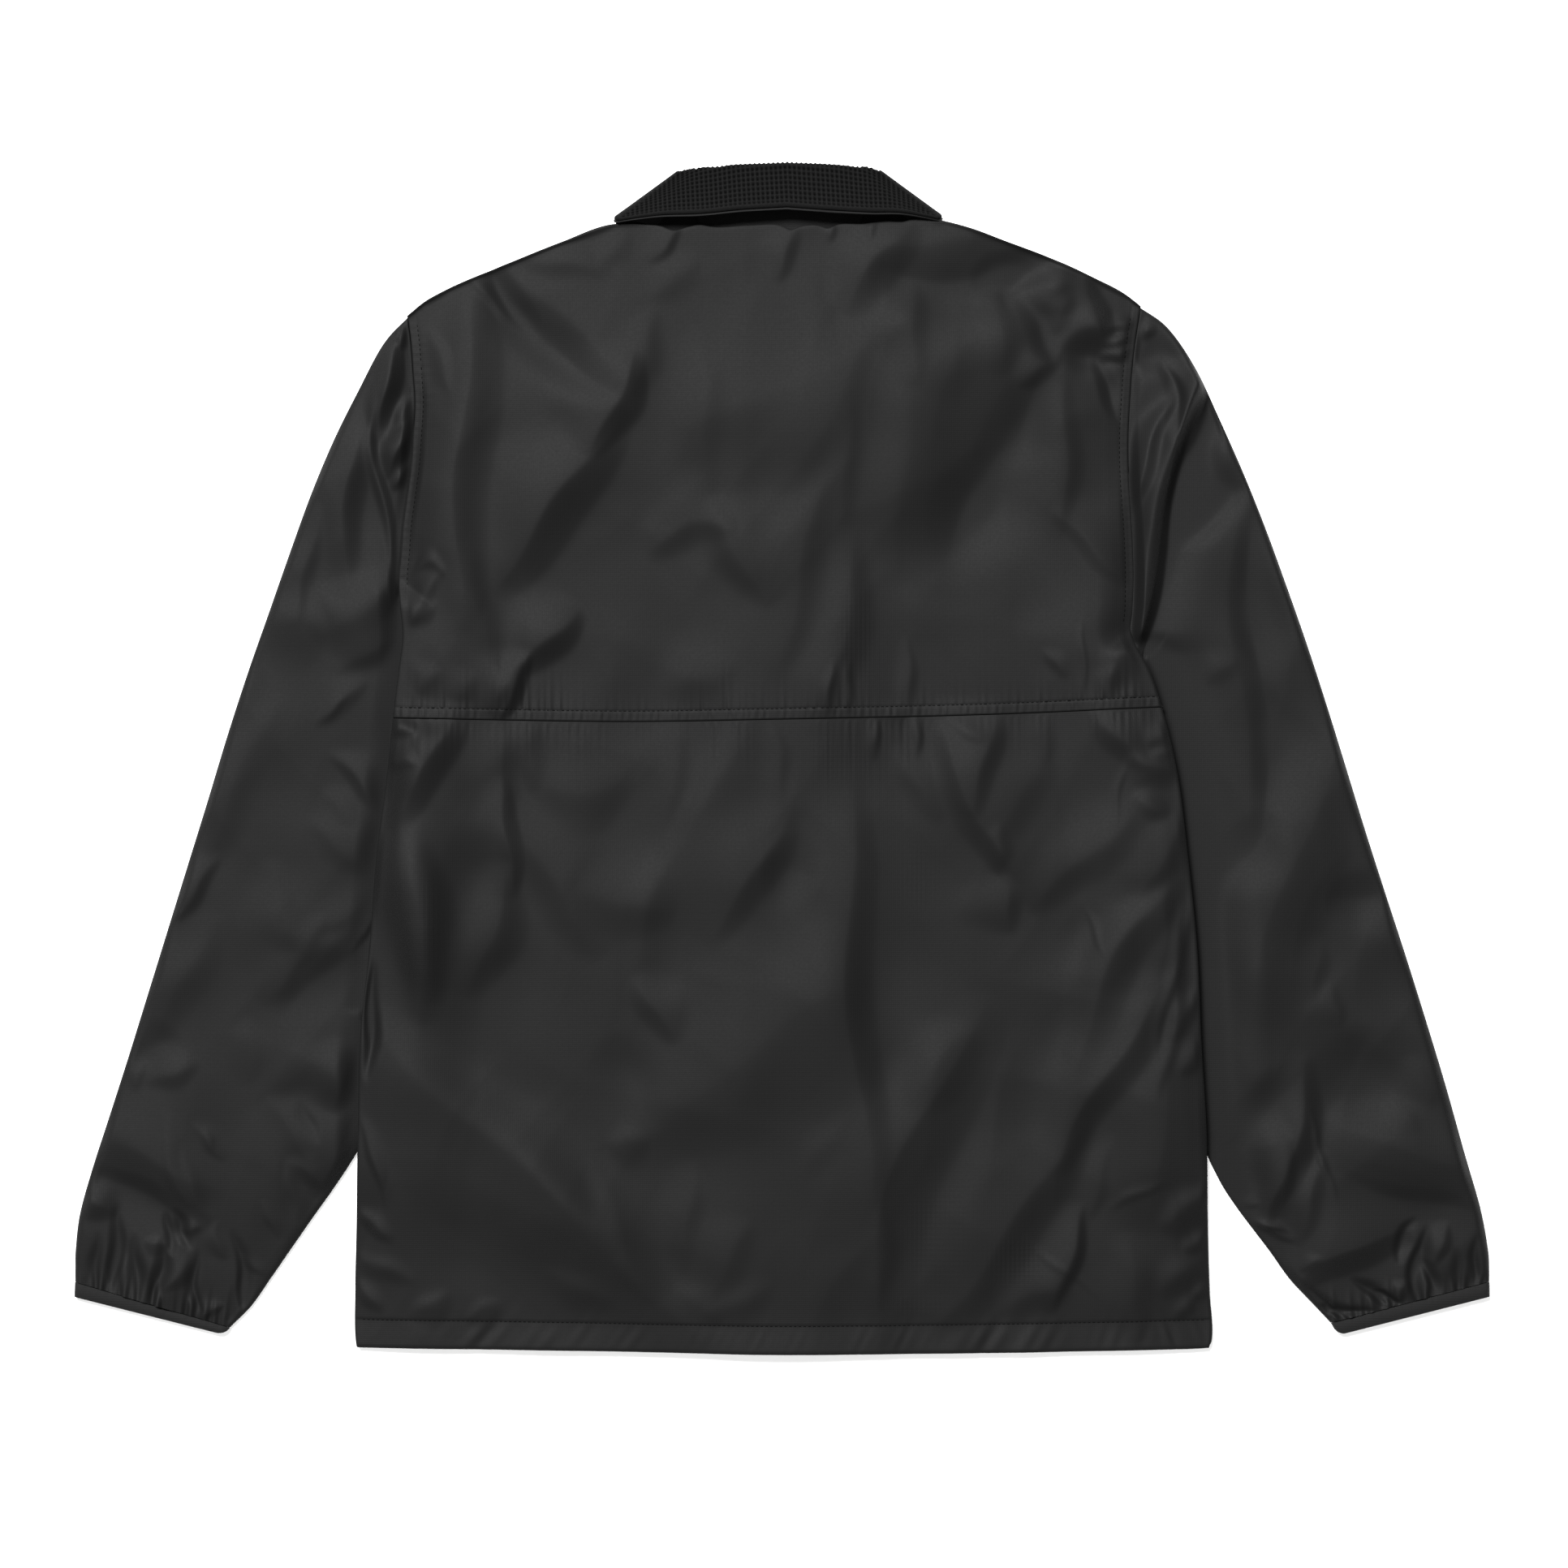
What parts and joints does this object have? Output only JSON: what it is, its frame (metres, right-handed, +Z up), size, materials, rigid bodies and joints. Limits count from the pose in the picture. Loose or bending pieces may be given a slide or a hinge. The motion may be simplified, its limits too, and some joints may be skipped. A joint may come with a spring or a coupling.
{
  "type": "reversible fleece jacket",
  "caption": "Reversible jacket laid flat with its back up: nylon shell outside, waffle fleece collar, yoke seam across the back, elastic-bound cuffs and a turned hem.",
  "frame": {"origin": "on the table under the middle of the jacket's bounding box", "axes": "+Z up off the table, +Y from hem to collar, +X to the right of someone looking down at the back"},
  "size_m": [0.9257, 0.7787, 0.0199],
  "materials": {
    "nylon_shell": "fine black nylon taffeta, soft satin sheen",
    "grid_fleece": "black waffle-grid fleece, matt pile",
    "elastic_binding": "black stretch binding tape, matt",
    "lacquered_snap": "black lacquered snap caps"
  },
  "bodies": {
    "root": {"back_yoke": "nylon_shell", "back_lower": "nylon_shell", "front_left": "nylon_shell", "front_right": "nylon_shell", "sleeve_left": "nylon_shell", "sleeve_right": "nylon_shell", "cuff_binding_left": "elastic_binding", "cuff_binding_right": "elastic_binding", "collar": "grid_fleece", "snap_1": "lacquered_snap", "snap_2": "lacquered_snap", "snap_3": "lacquered_snap", "snap_4": "lacquered_snap", "snap_5": "lacquered_snap", "snap_6": "lacquered_snap"}
  },
  "joints": []
}
